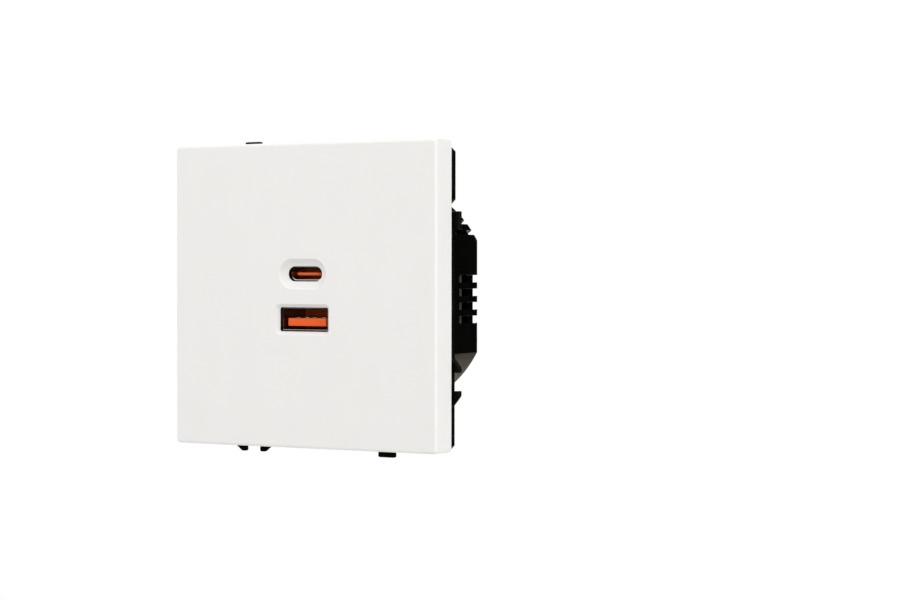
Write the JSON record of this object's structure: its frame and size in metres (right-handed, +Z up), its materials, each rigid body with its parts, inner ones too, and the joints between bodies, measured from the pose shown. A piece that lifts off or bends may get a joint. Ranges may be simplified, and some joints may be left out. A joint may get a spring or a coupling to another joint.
{
  "type": "usb wall socket",
  "caption": "Square flush USB wall socket: white pull-off plate with USB-C and USB-A openings, black support frame with link tabs, vented rear housing and screw terminals.",
  "frame": {"origin": "middle of the support frame, in the plane of the wall (rear face of the frame)", "axes": "+X to the right seen from the room, +Y into the wall, +Z up; the plate faces -Y"},
  "size_m": [0.0738, 0.0416, 0.0738],
  "materials": {
    "white_plastic": "fine satin",
    "black_plastic": "satin",
    "orange_plastic": "satin",
    "plated_steel": "bright plated",
    "gold_plate": "bright",
    "brass": "turned",
    "board": "matte",
    "ferrite": "matte",
    "tape": "satin",
    "can_sleeve": "gloss",
    "can_metal": "satin",
    "capacitor_case": "satin",
    "blue_lacquer": "gloss",
    "fuse_case": "satin",
    "copper": "lacquered wire",
    "chip_case": "matte"
  },
  "bodies": {
    "module": {"support_frame": "black_plastic", "rear_housing": "black_plastic", "port_guard": "black_plastic", "usb_c_shell": "plated_steel", "usb_c_tongue": "orange_plastic", "usb_c_contacts": "gold_plate", "usb_a_shell": "plated_steel", "usb_a_tongue": "orange_plastic", "usb_a_contacts": "gold_plate", "port_board": "board", "main_board": "board", "port_board_screws": "plated_steel", "link_pins": "gold_plate", "pin_strip": "chip_case", "transformer_core": "ferrite", "transformer_bobbin": "chip_case", "transformer_winding": "tape", "input_capacitor_upper": "can_sleeve", "input_capacitor_lower": "can_sleeve", "output_capacitor": "can_metal", "line_capacitor": "capacitor_case", "disc_capacitor": "blue_lacquer", "input_fuse": "fuse_case", "choke_core": "ferrite", "choke_coil": "copper", "bridge_rectifier": "chip_case", "power_switch_chip": "chip_case", "port_control_chip": "chip_case", "terminal_bar_live": "brass", "terminal_bar_neutral": "brass"},
    "plate": {"front_plate": "white_plastic"},
    "clamp_live": {"clamp_plate_live": "plated_steel"},
    "screw_live": {"terminal_screw_live": "brass"},
    "clamp_neutral": {"clamp_plate_neutral": "plated_steel"},
    "screw_neutral": {"terminal_screw_neutral": "brass"}
  },
  "joints": [
    {"name": "plate_pull", "type": "slide", "parent": "module", "child": "plate", "axis": [0, -1, 0], "range_m": [0, 0.02]},
    {"name": "clamp_live_lift", "type": "slide", "parent": "module", "child": "clamp_live", "axis": [0, 0, 1], "range_m": [0, 0.0018]},
    {"name": "screw_live_turn", "type": "hinge", "parent": "clamp_live", "child": "screw_live", "pos_m": [-0.0051, 0.0223, -0.02145], "axis": [0, 0, 1], "range_deg": [0, 1300]},
    {"name": "clamp_neutral_lift", "type": "slide", "parent": "module", "child": "clamp_neutral", "axis": [0, 0, 1], "range_m": [0, 0.0018]},
    {"name": "screw_neutral_turn", "type": "hinge", "parent": "clamp_neutral", "child": "screw_neutral", "pos_m": [0.0051, 0.0223, -0.02145], "axis": [0, 0, 1], "range_deg": [0, 1300]}
  ],
  "couplings": [
    {"joint": "screw_live_turn", "follows": "clamp_live_lift", "rad_per_m": 12566},
    {"joint": "screw_neutral_turn", "follows": "clamp_neutral_lift", "rad_per_m": 12566}
  ]
}
